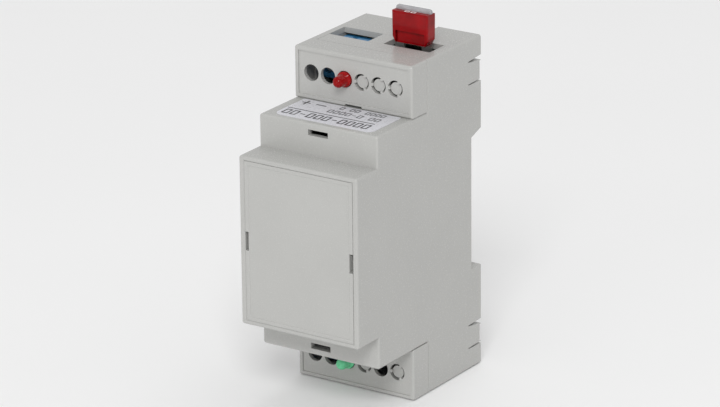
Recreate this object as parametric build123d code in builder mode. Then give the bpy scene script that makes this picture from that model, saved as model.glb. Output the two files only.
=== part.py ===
"""Two-module DIN-rail relay unit with a plug-in blade fuse, in millimetres.

The origin is the centre of the rail seat, the flat floor of the recess that
lies against the rail's flanges. +X runs along the rail, +Y out of the rear
and +Z up, at right angles to the rail.
"""
from build123d import *
import os

os.makedirs("parts", exist_ok=True)

# ---------------------------------------------------------------- enclosure
WIDTH = 35.8
HEIGHT = 90.2
DEPTH = 57.8
REAR = 4.6                      # Y of the rear plane: the rail recess is this deep
HALF_W = WIDTH / 2
END_Z = HEIGHT / 2
MID_Z = 31.15                   # half height of the middle step
NOSE_Z = 22.7                   # half height of the nose
NOSE_Y = REAR - DEPTH
MID_Y = REAR - 48.4
GUARD_Y = REAR - 32.4
SEAM_Y = REAR - 25.6
EDGE_R = 0.7
FRONT_EDGE_R = 0.55
BOTTOM_EDGE_R = 0.35            # the lower end's long edges are nearly sharp

JOIN = 5.0                      # how far the stepped blocks run into one another
SIDE_WALL = 2.1
END_WALL = 1.5
FRONT_WALL = 1.6
INNER_X = HALF_W - SIDE_WALL
INNER_Z = END_Z - END_WALL
CUTOUT_X = 15.6                 # half width of the opening that takes the guard's tongue
WINDOW_BACK_Y = REAR - 12.7

# ---------------------------------------------------------------- front panel
MOUTH_X = 16.4
MOUTH_Z = 21.5
MOUTH_DEPTH = 2.0
MOUTH_BEVEL = 0.25              # on the housing's edge, around the panel
PANEL_DROP = 0.12               # the panel sits this much deeper than the housing's rim
PANEL_RECESS = 0.12             # and its middle this much deeper again
LEDGE_X = 15.2
LEDGE_Z = 20.4
LEDGE_DEPTH = 2.0
SLOT_HALF_W = 2.55              # half width of the pry slots and notches
JOINT_GAP = 0.04                # visible joint between the outer mouldings
GAP = 0.1                       # play between inner pieces

# ---------------------------------------------------------------- rail, base and latch
SEAT_HALF_Z = 15.7
SEAT_STEP = 0.2                 # the floor beside the seat is this much deeper
HOOK_Z = -17.6
SLOPE_INNER_Z = 18.5
SLOPE_OUTER_Z = 20.1
BASE_X = INNER_X - GAP
BASE_Z = INNER_Z - GAP
BASE_PLATE = 2.2
PILLAR_X = 12.4
PILLAR_Z = 27.0
PILLAR_R = 2.6
LATCH_X = 4.8
SPRING_WIRE_R = 0.2
SPRING_R = 1.15
SPRING_FOOT_Z = 24.0
POST_Z = (34.6, 36.6)
LATCH_MID_Y = 1.8               # middle of the latch's thickness

# ---------------------------------------------------------------- circuit board
PCB_REAR_Y = -5.2
PCB_T = 1.6
PCB_Y = PCB_REAR_Y - PCB_T      # the side that carries the components
PCB_X = 15.4
PCB_Z = 42.9
LEAD_END_Y = PCB_REAR_Y + 1.2   # where soldered leads end behind the board

# ---------------------------------------------------------------- terminals, holes, indicators
HOLE_PITCH = 5.1
HOLE_X = [HOLE_PITCH * step - 12.9 for step in range(6)]
HOLE_Z = 38.35
HOLE_R = 2.22
POLE_X = HOLE_X[:2]
BLOCK_FRONT_Y = -20.0
M3_R = 1.5
LED_X = HOLE_X[2]
TRIM_X = HOLE_X[4]

# ---------------------------------------------------------------- fuse
FUSE_X = 7.9
FUSE_Y = REAR - 16.2
FUSE_HALF_W = 5.45
FUSE_HALF_T = 1.9
FUSE_FOOT_Z = 45.5
FUSE_TOP_Z = 53.9
BLADE_PITCH = 8.1
BLADE_W = 2.8
BLADE_T = 0.8
BLADE_TIP_Z = 38.0

# ---------------------------------------------------------------- relay
RELAY_X = 6.0
RELAY_HALF_X = 7.8
RELAY_HALF_Z = 9.6
RELAY_H = 17.0
CORE_Z = -1.8


def box(xs, ys, zs, mode=Mode.ADD):
    """A block between three pairs of limits, given in any order."""
    centre = tuple((a + b) / 2 for a, b in (xs, ys, zs))
    sizes = [abs(b - a) for a, b in (xs, ys, zs)]
    with Locations(centre):
        Box(*sizes, mode=mode)


def rod(x, z, r, ys, mode=Mode.ADD):
    """A cylinder along Y."""
    with Locations((x, (ys[0] + ys[1]) / 2, z)):
        Cylinder(r, abs(ys[1] - ys[0]), rotation=(90, 0, 0), mode=mode)


def front(y):
    """A plane facing the front, -Y, whose own x and y are X and Z."""
    return Plane.XZ.offset(-y)


def save(builder, name):
    builder.part.label = name
    export_step(builder.part, "parts/" + name + ".step")


def height(h):
    """Y of a point h above the component side of the board."""
    return PCB_Y - h


# ================================================================ housing
def snap_slots(zs_outer, z_inner):
    """Outline of one narrow slot that frees a snap tab from the side wall."""
    slot_depth = 6.0
    half_end = 0.15
    return [(REAR + 1, zs_outer[0]), (REAR + 1, zs_outer[1]),
            (REAR - slot_depth, z_inner + half_end), (REAR - slot_depth, z_inner - half_end)]


TAB_SLOTS = [((38.3, 39.9), 39.2), ((32.85, 33.45), 33.1),
             ((-34.25, -32.7), -33.0), ((-39.7, -39.0), -39.4)]
TAB_ENDS = [(33.4, 38.3), (-39.0, -34.2)]
SNAP_Z = [36.0, -36.5]          # middle of the base's snap noses
SEAM_BEVEL = 0.5                # on the housing's edge, where the guards' side walls end
GUARD_SNAP_Z = 33.2
GUARD_SNAP_Y = (-18.4, -17.1)

with BuildPart() as housing_body:
    box((-HALF_W, HALF_W), (SEAM_Y, REAR), (-END_Z, END_Z))
    chamfer(housing_body.faces().sort_by(Axis.Y)[0].edges().filter_by(Axis.Z), SEAM_BEVEL)
    long_edges = housing_body.edges().filter_by(Axis.Y).group_by(Axis.Z)
    fillet(long_edges[-1], EDGE_R)
    fillet(long_edges[0], BOTTOM_EDGE_R)

with BuildPart() as middle_step:
    box((-HALF_W, HALF_W), (MID_Y, SEAM_Y + JOIN), (-MID_Z, MID_Z))
    fillet(middle_step.edges().filter_by(Axis.Y), EDGE_R)
    fillet(middle_step.faces().sort_by(Axis.Y)[0].edges(), FRONT_EDGE_R)

with BuildPart() as nose:
    box((-HALF_W, HALF_W), (NOSE_Y, MID_Y + JOIN), (-NOSE_Z, NOSE_Z))
    fillet(nose.edges().filter_by(Axis.Y), EDGE_R)
    fillet(nose.faces().sort_by(Axis.Y)[0].edges(), FRONT_EDGE_R)

with housing_body:
    add(middle_step.part)
    add(nose.part)
    # the three chambers, the mouth for the front panel and the ledge that it rests on
    box((-INNER_X, INNER_X), (SEAM_Y, REAR + 1), (-INNER_Z, INNER_Z), Mode.SUBTRACT)
    box((-INNER_X, INNER_X), (MID_Y + FRONT_WALL, SEAM_Y), (-MID_Z + FRONT_WALL, MID_Z - FRONT_WALL),
        Mode.SUBTRACT)
    nose_inner_z = NOSE_Z - FRONT_WALL
    ledge_y = NOSE_Y + MOUTH_DEPTH
    box((-INNER_X, INNER_X), (ledge_y + LEDGE_DEPTH, MID_Y + FRONT_WALL), (-nose_inner_z, nose_inner_z),
        Mode.SUBTRACT)
    box((-LEDGE_X, LEDGE_X), (ledge_y, ledge_y + LEDGE_DEPTH), (-LEDGE_Z, LEDGE_Z), Mode.SUBTRACT)
    box((-MOUTH_X, MOUTH_X), (NOSE_Y - 1, ledge_y), (-MOUTH_Z, MOUTH_Z), Mode.SUBTRACT)
    chamfer(housing_body.faces().sort_by(Axis.Y)[0].inner_wires()[0].edges(), MOUTH_BEVEL)
    # rail recess, square at the hooks and sloped at the latch
    with BuildSketch(Plane.YZ.offset(-HALF_W)):
        with BuildLine():
            Polyline((0, HOOK_Z), (REAR + 1, HOOK_Z), (REAR + 1, SLOPE_OUTER_Z + 0.35),
                     (REAR, SLOPE_OUTER_Z), (0, SLOPE_INNER_Z), close=True)
        make_face()
    extrude(amount=WIDTH, mode=Mode.SUBTRACT)
    # slots that free the four snap tabs, whose ends sit a little inside the rear plane
    for outer, inner in TAB_SLOTS:
        with BuildSketch(Plane.YZ.offset(-HALF_W)):
            with BuildLine():
                Polyline(*snap_slots(outer, inner), close=True)
            make_face()
        extrude(amount=WIDTH, mode=Mode.SUBTRACT)
    for tab in TAB_ENDS:
        box((-HALF_W, HALF_W), (REAR - 0.6, REAR + 1), tab, Mode.SUBTRACT)
    for side in (-1, 1):
        pocket_x = (side * INNER_X, side * (INNER_X + 0.6))
        for z in SNAP_Z:
            box(pocket_x, (0.95, 2.65), (z - 1.4, z + 1.4), Mode.SUBTRACT)
        for z in (GUARD_SNAP_Z, -GUARD_SNAP_Z):
            box(pocket_x, GUARD_SNAP_Y, (z - 1.3, z + 1.3), Mode.SUBTRACT)
    # openings in the end walls for the guards' tongues, and slots in the step's front face
    for end in (-1, 1):
        box((-CUTOUT_X, CUTOUT_X), (SEAM_Y - 1, WINDOW_BACK_Y), (end * INNER_Z, end * (END_Z + 1)),
            Mode.SUBTRACT)
        box((-3, 3), (MID_Y - 1, MID_Y + FRONT_WALL), (end * 28.0, end * 29.55), Mode.SUBTRACT)
    # way in for the screwdriver that pulls the latch, and the shallow rear step at the lower end
    box((-5, 5), (1.2, REAR + 1), (INNER_Z, END_Z + 1), Mode.SUBTRACT)
    box((-HALF_W, HALF_W), (REAR - 6.2, REAR + 1), (-END_Z - 1, -END_Z + 0.2), Mode.SUBTRACT)
save(housing_body, "housing_body")

# ================================================================ rear base
CHANNEL_X = LATCH_X + GAP
LATCH_REAR_Y = 3.4
LIP_START_Z = 25.2

with BuildPart() as rear_base:
    box((-BASE_X, BASE_X), (-BASE_PLATE, -SEAT_STEP), (-BASE_Z, BASE_Z))
    box((-BASE_X, BASE_X), (-SEAT_STEP, 0), (-SEAT_HALF_Z, SEAT_HALF_Z))
    # lower half: block with the fixed hooks
    box((-BASE_X, BASE_X), (-SEAT_STEP, REAR), (-BASE_Z, HOOK_Z))
    for side in (-1, 1):
        with BuildSketch(Plane.YZ.offset(side * 9.5 - 4)):
            with BuildLine():
                Polyline((1.25, HOOK_Z), (1.25, -15.9), (2.2, -15.9), (3.9, HOOK_Z), close=True)
            make_face()
        extrude(amount=8)
    # upper half: two blocks beside the latch's channel, with lips that hold the latch in
    for side in (-1, 1):
        box((side * CHANNEL_X, side * BASE_X), (-SEAT_STEP, REAR), (SLOPE_OUTER_Z + 0.2, BASE_Z))
        box((side * (CHANNEL_X - 1.2), side * CHANNEL_X), (LATCH_REAR_Y + GAP, REAR),
            (LIP_START_Z, BASE_Z))
    # cored pockets, open to the rear, leave ribs
    for zs in ((-42.0, -31.3), (-30.3, -20.1)):
        for xs in ((-14.2, -5.3), (-4.3, 4.3), (5.3, 14.2)):
            box(xs, (0, REAR + 1), zs, Mode.SUBTRACT)
    for zs in ((21.8, 31.4), (32.4, 42.0)):
        for xs in ((-14.2, -6.3), (6.3, 14.2)):
            box(xs, (0, REAR + 1), zs, Mode.SUBTRACT)
    # post that the latch's spring pushes against
    box((-2.0, 2.0), (-SEAT_STEP, 3.0), POST_Z)
    # snap noses for the housing's tabs
    for side in (-1, 1):
        for z in SNAP_Z:
            box((side * BASE_X, side * (BASE_X + 0.5)), (1.1, 2.4), (z - 1.2, z + 1.2))
    # pillars under the circuit board, with blind pilot holes
    with Locations(*[(x, 0, z) for x in (-PILLAR_X, PILLAR_X) for z in (-PILLAR_Z, PILLAR_Z)]):
        with Locations((0, (PCB_REAR_Y - BASE_PLATE) / 2, 0)):
            Cylinder(PILLAR_R, -PCB_REAR_Y - BASE_PLATE, rotation=(90, 0, 0))
        with Locations((0, (PCB_REAR_Y - 0.8) / 2, 0)):
            Cylinder(1.1, -PCB_REAR_Y - 0.8, rotation=(90, 0, 0), mode=Mode.SUBTRACT)
save(rear_base, "rear_base")

# ================================================================ DIN latch and its spring
with BuildPart() as din_latch:
    with BuildSketch(Plane.YZ.offset(-LATCH_X)):
        with BuildLine():
            Polyline((0.2, 17.9), (1.3, 17.9), (1.3, 16.1), (1.9, 15.9), (4.3, 18.6), (4.3, 21.0),
                     (LATCH_REAR_Y, 21.9), (LATCH_REAR_Y, 44.3), (1.4, 44.3), (1.4, 40.4), (0.2, 40.4),
                     close=True)
        make_face()
    extrude(amount=2 * LATCH_X)
    # window for the spring and the post, which stops the latch at rest
    box((-2.4, 2.4), (0, REAR), (SPRING_FOOT_Z, POST_Z[1] + 0.05), Mode.SUBTRACT)
    # screwdriver slot in the tail, and the tail's narrower end
    box((-1.8, 1.8), (0, REAR), (41.6, 42.8), Mode.SUBTRACT)
    for side in (-1, 1):
        box((side * 4.4, side * (LATCH_X + 1)), (0, REAR), (40.4, 45), Mode.SUBTRACT)
    fillet(din_latch.edges().filter_by(Axis.Y).group_by(Axis.Z)[-1], 0.8)
save(din_latch, "din_latch")

SPRING_FREE = POST_Z[0] - SPRING_FOOT_Z - 0.1
SPRING_TURNS = 8

with BuildPart() as latch_spring:
    with BuildLine(Plane((0, LATCH_MID_Y, SPRING_FOOT_Z + 0.05 + SPRING_WIRE_R))) as coil:
        pitch = (SPRING_FREE - 2 * SPRING_WIRE_R) / SPRING_TURNS
        Helix(pitch=pitch, height=pitch * SPRING_TURNS, radius=SPRING_R)
    with BuildSketch(Plane(origin=coil.line @ 0, z_dir=coil.line % 0)):
        Circle(SPRING_WIRE_R)
    sweep()
save(latch_spring, "latch_spring")

# ================================================================ front panel
with BuildPart() as front_panel:
    panel_x = MOUTH_X - JOINT_GAP
    panel_z = MOUTH_Z - JOINT_GAP
    panel_y = NOSE_Y + PANEL_DROP
    box((-panel_x, panel_x), (panel_y, NOSE_Y + MOUTH_DEPTH), (-panel_z, panel_z))
    fillet(front_panel.faces().sort_by(Axis.Y)[0].edges(), 0.12)
    box((-LEDGE_X, LEDGE_X), (NOSE_Y - 1, panel_y + PANEL_RECESS), (-LEDGE_Z, LEDGE_Z), Mode.SUBTRACT)
    chamfer(front_panel.faces().sort_by(Axis.Y)[0].inner_wires()[0].edges(), PANEL_RECESS - 0.02)
    for side in (-1, 1):
        box((side * (LEDGE_X + 0.15), side * HALF_W), (NOSE_Y - 1, REAR), (-SLOT_HALF_W, SLOT_HALF_W),
            Mode.SUBTRACT)
        for z in (-12, 12):
            leg_x = (side * 13.9, side * (LEDGE_X - GAP))
            leg_root_y = NOSE_Y + MOUTH_DEPTH
            barb_y = leg_root_y + LEDGE_DEPTH + GAP
            box(leg_x, (leg_root_y, leg_root_y + 4.8), (z - 2.5, z + 2.5))
            with BuildSketch(Plane.XY.offset(z - 2.5)):
                with BuildLine():
                    Polyline((side * (LEDGE_X - GAP), barb_y), (side * (LEDGE_X + 0.4), barb_y),
                             (side * (LEDGE_X + 0.4), barb_y + 0.5), (side * (LEDGE_X - GAP), barb_y + 2.4),
                             close=True)
                make_face()
            extrude(amount=5)
save(front_panel, "front_panel")

# ================================================================ terminal guards
GUARD_INNER_R = 0.25            # on the guard's edges beside the middle step
KNOCKOUT_INNER_R = 1.65
KNOCKOUT_STEP = 0.5             # the discs lie this much deeper than the guard's face
KNOCKOUT_BRIDGES = (60, 180, 300)
KNOCKOUT_BRIDGE_W = 0.75
WIRE_WINDOW = ((-CUTOUT_X, -3.5), (REAR - 20.0, WINDOW_BACK_Y))
FUSE_WINDOW = ((1.0, 15.0), (REAR - 19.8, WINDOW_BACK_Y))


def terminal_guard(end, open_holes, windows):
    """Cap over one row of terminals; end is +1 for the upper cap and -1 for the lower one."""
    def zs(a, b):
        return (end * a, end * b)

    wall = 1.4
    inset = 0.3
    back_y = SEAM_Y - JOINT_GAP
    tongue_x = CUTOUT_X - GAP
    with BuildPart() as guard:
        box((-HALF_W, HALF_W), (GUARD_Y, back_y), zs(MID_Z + JOINT_GAP, END_Z))
        outer = guard.edges().filter_by(Axis.Y).group_by(Axis.Z)[-1 if end > 0 else 0]
        fillet(outer, EDGE_R if end > 0 else BOTTOM_EDGE_R)
        fillet(guard.edges().filter_by(Axis.Y).group_by(Axis.Z)[0 if end > 0 else -1], GUARD_INNER_R)
        fillet(guard.faces().sort_by(Axis.Y)[0].edges(), FRONT_EDGE_R)
        box((-HALF_W + FRONT_WALL, HALF_W - FRONT_WALL), (GUARD_Y + wall, back_y), zs(MID_Z, INNER_Z),
            Mode.SUBTRACT)
        box((-16.75, 16.75), (GUARD_Y - 1, GUARD_Y + inset), zs(32.4, 44.0), Mode.SUBTRACT)
        # tongue that closes the end wall, with its windows open to the rear
        box((-tongue_x, tongue_x), (back_y, WINDOW_BACK_Y - GAP), zs(INNER_Z, END_Z))
        box((-tongue_x, tongue_x), (back_y, back_y + 0.15), zs(END_Z - 0.15, END_Z + 1), Mode.SUBTRACT)
        for xs, ys in windows:
            box(xs, ys, zs(INNER_Z - 1, END_Z + 1), Mode.SUBTRACT)
        # notch for prying the cap off
        box((-SLOT_HALF_W, SLOT_HALF_W), (GUARD_Y - 1, GUARD_Y + wall), zs(MID_Z, MID_Z + 0.75),
            Mode.SUBTRACT)
        for number, x in enumerate(HOLE_X, start=1):
            if number in open_holes:
                rod(x, end * HOLE_Z, HOLE_R, (GUARD_Y - 1, GUARD_Y + 2 * wall), Mode.SUBTRACT)
                continue
            # knock-out: a disc held by three thin bridges
            with BuildSketch(front(GUARD_Y + 2 * wall)):
                with Locations((x, end * HOLE_Z)):
                    Circle(HOLE_R)
                    Circle(KNOCKOUT_INNER_R, mode=Mode.SUBTRACT)
                    for angle in KNOCKOUT_BRIDGES:
                        with PolarLocations(HOLE_R, 1, start_angle=angle):
                            Rectangle(1.4, KNOCKOUT_BRIDGE_W, mode=Mode.SUBTRACT)
            extrude(amount=3 * wall, mode=Mode.SUBTRACT)
            disc_y = GUARD_Y + inset + KNOCKOUT_STEP
            rod(x, end * HOLE_Z, KNOCKOUT_INNER_R, (GUARD_Y - 1, disc_y), Mode.SUBTRACT)
        # snap legs along the side walls
        for side in (-1, 1):
            box((side * 14.5, side * (HALF_W - FRONT_WALL)), (GUARD_Y + wall, back_y),
                zs(GUARD_SNAP_Z - 1.2, GUARD_SNAP_Z + 1.2))
            box((side * 14.5, side * (INNER_X - GAP)), (back_y, -16.6),
                zs(GUARD_SNAP_Z - 1.2, GUARD_SNAP_Z + 1.2))
            box((side * (INNER_X - GAP), side * (INNER_X + 0.4)), (-18.3, -17.3),
                zs(GUARD_SNAP_Z - 1.0, GUARD_SNAP_Z + 1.0))
    return guard


save(terminal_guard(1, (1, 2, 3), (WIRE_WINDOW, FUSE_WINDOW)), "top_terminal_guard")
save(terminal_guard(-1, (1, 2, 3, 5), (WIRE_WINDOW,)), "bottom_terminal_guard")

# ================================================================ label on the step
LABEL_T = 0.12

with BuildPart() as rating_label:
    box((-14.8, 14.8), (REAR - 46.5, REAR - 32.6), (MID_Z, MID_Z + LABEL_T))
    fillet(rating_label.edges().filter_by(Axis.Z).group_by(Axis.Y)[0], 2.0)
    fillet(rating_label.edges().filter_by(Axis.Z).group_by(Axis.Y)[-1], 0.6)
save(rating_label, "rating_label")

# ================================================================ screw terminals
BLOCK_X = (-15.25, -5.15)
BLOCK_Z = (34.9, 42.8)
RIB_TOP_Z = 44.05
RIB_Y = (REAR - 19.7, REAR - 16.1)
RIB_X = ((-13.1, -10.3), (-8.9, -5.4))
CHAMBER_Z = (35.6, 42.2)
CHAMBER_FRONT_Y = -16.8
HEAD_SEAT_Y = -17.4
BAR_Y = (-12.0, -11.2)          # fixed contact bar above the wire
CAGE_Z = (36.6, 40.6)
LEG_Z = (35.7, 36.5)
CHAMBER_HALF = 2.1


def terminal_block(end):
    """Two-pole moulding: chambers for the cages, wire mouths and screw wells."""
    def zs(a, b):
        return (end * a, end * b)

    floor_y = PCB_Y - 0.8
    with BuildPart() as block:
        box(BLOCK_X, (BLOCK_FRONT_Y, PCB_Y), zs(*BLOCK_Z))
        fillet(block.faces().sort_by(Axis.Y)[0].edges(), 0.5)
        # rib ahead of each wire mouth, reaching into the guard's window
        for xs in RIB_X:
            box(xs, RIB_Y, zs(BLOCK_Z[1], RIB_TOP_Z))
        for x in POLE_X:
            box((x - CHAMBER_HALF, x + CHAMBER_HALF), (CHAMBER_FRONT_Y, floor_y), zs(*CHAMBER_Z),
                Mode.SUBTRACT)
            box((x - 1.55, x + 1.55), (-10.9, -8.3), zs(CHAMBER_Z[1], RIB_TOP_Z), Mode.SUBTRACT)
            rod(x, end * HOLE_Z, M3_R + 0.1, (CHAMBER_FRONT_Y, HEAD_SEAT_Y), Mode.SUBTRACT)
            rod(x, end * HOLE_Z, HOLE_R - 0.1, (HEAD_SEAT_Y, BLOCK_FRONT_Y - 1), Mode.SUBTRACT)
            box((x - 0.7, x + 0.7), (floor_y, PCB_Y), zs(LEG_Z[0] - 0.1, LEG_Z[1] + 0.1), Mode.SUBTRACT)
        # groove between the poles on the front
        groove_x = sum(BLOCK_X) / 2
        box((groove_x - 0.3, groove_x + 0.3), (BLOCK_FRONT_Y, BLOCK_FRONT_Y + 0.6), zs(*BLOCK_Z),
            Mode.SUBTRACT)
    return block


def terminal_screw(x, end):
    """M3 captive screw with a slotted cheese head; its thread is plain."""
    with BuildPart() as screw:
        head_y = (HEAD_SEAT_Y - 0.05, HEAD_SEAT_Y - 1.65)
        rod(x, end * HOLE_Z, 2.0, head_y)
        fillet(screw.faces().sort_by(Axis.Y)[0].edges(), 0.3)
        rod(x, end * HOLE_Z, M3_R, (HEAD_SEAT_Y - 0.05, BAR_Y[0] - 0.3))
        chamfer(screw.faces().sort_by(Axis.Y)[-1].edges(), 0.3)
        slot_z = (end * HOLE_Z - 0.4, end * HOLE_Z + 0.4)
        box((x - 2.5, x + 2.5), (head_y[1], head_y[1] + 0.9), slot_z, Mode.SUBTRACT)
    return screw


def clamp_cage(x, end):
    """Rising cage: a steel loop with the screw through its front bar, open for the wire."""
    def zs(a, b):
        return (end * a, end * b)

    with BuildPart() as cage:
        box((x - 1.95, x + 1.95), (-14.2, -7.8), zs(*CAGE_Z))
        box((x - 1.55, x + 1.55), (-13.2, -8.6), zs(CAGE_Z[0] - 1, CAGE_Z[1] + 1), Mode.SUBTRACT)
        fillet(cage.edges().filter_by(Axis.Z), 0.25)
        rod(x, end * HOLE_Z, M3_R + 0.03, (-15, -13), Mode.SUBTRACT)
    return cage


def terminal_contacts(end):
    """Contact bars with their solder pins, one for each pole."""
    def zs(a, b):
        return (end * a, end * b)

    with BuildPart() as contacts:
        for x in POLE_X:
            box((x - 1.3, x + 1.3), BAR_Y, zs(LEG_Z[0], 42.0))
            box((x - 0.6, x + 0.6), (BAR_Y[1], LEAD_END_Y), zs(*LEG_Z))
    return contacts


for end, place in ((1, "upper"), (-1, "lower")):
    save(terminal_block(end), place + "_terminal_block")
    save(terminal_contacts(end), place + "_terminal_contacts")
    for number, x in enumerate(POLE_X, start=1):
        save(terminal_screw(x, end), f"{place}_terminal_screw_{number}")
        save(clamp_cage(x, end), f"{place}_clamp_cage_{number}")

# ================================================================ fuse holder, clips and fuse
HOLDER_X = (FUSE_X - 6.4, FUSE_X + 6.4)
HOLDER_Z = (31.5, 42.6)
HOLDER_FRONT_Y = -16.0
CLIP_FOOT_Z = (33.2, 33.8)
CLIP_TOP_Z = 41.2
CLIP_T = 0.4
CLIP_SIDES = ((-1, "left"), (1, "right"))
CLIP_GAP = BLADE_T / 2 + 0.03


def blade_x(side):
    return FUSE_X + side * BLADE_PITCH / 2


with BuildPart() as fuse_holder:
    box(HOLDER_X, (HOLDER_FRONT_Y, PCB_Y), HOLDER_Z)
    fillet(fuse_holder.faces().sort_by(Axis.Y)[0].edges(), 0.4)
    for side, _ in CLIP_SIDES:
        x = blade_x(side)
        box((x - 1.9, x + 1.9), (FUSE_Y - 1.6, FUSE_Y + 1.6), (32.8, 41.6), Mode.SUBTRACT)
        box((x - 1.7, x + 1.7), (FUSE_Y - 0.9, FUSE_Y + 0.9), (41.6, HOLDER_Z[1]), Mode.SUBTRACT)
        box((x - 0.8, x + 0.8), (FUSE_Y, PCB_Y), (CLIP_FOOT_Z[0] - 0.1, CLIP_FOOT_Z[1] + 0.1),
            Mode.SUBTRACT)
save(fuse_holder, "fuse_holder")

for side, place in CLIP_SIDES:
    x = blade_x(side)
    with BuildPart() as fuse_clip:
        box((x - 1.5, x + 1.5), (FUSE_Y - CLIP_GAP - CLIP_T, FUSE_Y + CLIP_GAP + CLIP_T), CLIP_FOOT_Z)
        for face in (-1, 1):
            leaf_y = (FUSE_Y + face * CLIP_GAP, FUSE_Y + face * (CLIP_GAP + CLIP_T))
            box((x - 1.5, x + 1.5), leaf_y, (CLIP_FOOT_Z[1], CLIP_TOP_Z))
            # each leaf is split into two fingers
            box((x - 0.15, x + 0.15), leaf_y, (35.5, CLIP_TOP_Z), Mode.SUBTRACT)
        box((x - 0.6, x + 0.6), (FUSE_Y + CLIP_GAP, LEAD_END_Y), CLIP_FOOT_Z)
    save(fuse_clip, f"fuse_clip_{place}")

FUSE_EDGE_R = 0.4
RECESS_X = (FUSE_X - 4.35, FUSE_X + 4.35)
RECESS_TOP_Z = 48.8
STRIP_HALF_W = 5.3
STRIP_Y = (FUSE_Y - 0.1, FUSE_Y + 0.9)
STRIP_ROOT_Z = 53.0
STRIP_TOP_Z = 55.0

with BuildPart() as fuse_body:
    with BuildSketch(front(FUSE_Y + FUSE_HALF_T)):
        with BuildLine():
            half = [(4.45, FUSE_FOOT_Z), (FUSE_HALF_W - 0.1, FUSE_FOOT_Z + 1.5), (FUSE_HALF_W, FUSE_TOP_Z)]
            Polyline(*[(FUSE_X + dx, z) for dx, z in half],
                     *[(FUSE_X - dx, z) for dx, z in reversed(half)], close=True)
        make_face()
    extrude(amount=2 * FUSE_HALF_T)
    fillet(fuse_body.faces().sort_by(Axis.Y)[0].edges(), FUSE_EDGE_R)
    fillet(fuse_body.faces().sort_by(Axis.Y)[-1].edges(), FUSE_EDGE_R)
    # thumb recess low on both faces
    for face in (-1, 1):
        box(RECESS_X, (FUSE_Y + face * 1.3, FUSE_Y + face * 2.5), (FUSE_FOOT_Z - 1, RECESS_TOP_Z),
            Mode.SUBTRACT)
    # groove for the strip along the top
    box((FUSE_X - STRIP_HALF_W, FUSE_X + STRIP_HALF_W), STRIP_Y, (STRIP_ROOT_Z, STRIP_TOP_Z), Mode.SUBTRACT)
    # cavity for the element, with a slot for each blade
    box((FUSE_X - 4.2, FUSE_X + 4.2), (FUSE_Y - 0.85, FUSE_Y + 0.85), (47.2, 52.4), Mode.SUBTRACT)
    for side, _ in CLIP_SIDES:
        x = blade_x(side)
        box((x - 1.05, x + 0.15) if side > 0 else (x - 0.15, x + 1.05), (FUSE_Y - 0.45, FUSE_Y + 0.45),
            (FUSE_FOOT_Z - 1, 47.2), Mode.SUBTRACT)
save(fuse_body, "fuse_body")

with BuildPart() as fuse_top_strip:
    box((FUSE_X - STRIP_HALF_W, FUSE_X + STRIP_HALF_W), STRIP_Y, (STRIP_ROOT_Z, STRIP_TOP_Z))
    fillet(fuse_top_strip.edges().filter_by(Axis.Y).group_by(Axis.Z)[-1], 0.7)
    fillet(fuse_top_strip.faces().sort_by(Axis.Z)[-1].edges().filter_by(Axis.X), 0.25)
save(fuse_top_strip, "fuse_top_strip")

with BuildPart() as fuse_element:
    for side, _ in CLIP_SIDES:
        x = blade_x(side)
        with BuildSketch(front(FUSE_Y + BLADE_T / 2)):
            with BuildLine():
                tip = 0.7
                left = x - BLADE_W / 2
                right = x + BLADE_W / 2
                Polyline((left, FUSE_FOOT_Z - 0.05), (left, BLADE_TIP_Z + tip), (left + tip, BLADE_TIP_Z),
                         (right - tip, BLADE_TIP_Z), (right, BLADE_TIP_Z + tip),
                         (right, FUSE_FOOT_Z - 0.05), close=True)
            make_face()
        extrude(amount=BLADE_T)
        tab = (x - 1.0, x + 0.1) if side > 0 else (x - 0.1, x + 1.0)
        box(tab, (FUSE_Y - BLADE_T / 2, FUSE_Y + BLADE_T / 2), (FUSE_FOOT_Z - 0.1, 50.4))
    # fusible link: a thin arch between the blades
    with BuildSketch(front(FUSE_Y + 0.2)):
        with BuildLine():
            CenterArc((FUSE_X, 49.9), 3.1, 0, 180)
            Line((FUSE_X - 3.1, 49.9), (FUSE_X + 3.1, 49.9))
        make_face()
        with BuildLine():
            CenterArc((FUSE_X, 49.9), 2.5, 0, 180)
            Line((FUSE_X - 2.5, 49.9), (FUSE_X + 2.5, 49.9))
        make_face(mode=Mode.SUBTRACT)
    extrude(amount=0.4)
    box((FUSE_X - 5, FUSE_X + 5), (FUSE_Y - 1, FUSE_Y + 1), (52.2, 54), Mode.SUBTRACT)
    with BuildSketch(front(FUSE_Y + 0.2)):
        with Locations((FUSE_X, 52.0)):
            Rectangle(3.2, 0.4)
    extrude(amount=0.4)
save(fuse_element, "fuse_element")

# ================================================================ indicator lamps
LED_R = 1.5
LED_DOME_Y = REAR - 34.9
LED_BACK_Y = -26.9
LEAD_HALF = 0.25
LEAD_PITCH = 2.54


def led_leads(end):
    """Leads and the lead frame that is cast into the lens."""
    with BuildPart() as leads:
        for side in (-1, 1):
            x = LED_X + side * LEAD_PITCH / 2
            box((x - LEAD_HALF, x + LEAD_HALF), (LED_BACK_Y - 1.0, LEAD_END_Y),
                (end * HOLE_Z - LEAD_HALF, end * HOLE_Z + LEAD_HALF))
        # cup post and bond post
        box((LED_X - 1.2, LED_X - 0.1), (LED_BACK_Y - 2.2, LED_BACK_Y - 1.0),
            (end * HOLE_Z - 0.25, end * HOLE_Z + 0.25))
        box((LED_X + 0.5, LED_X + 1.2), (LED_BACK_Y - 2.0, LED_BACK_Y - 1.0),
            (end * HOLE_Z - 0.25, end * HOLE_Z + 0.25))
    return leads


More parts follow.
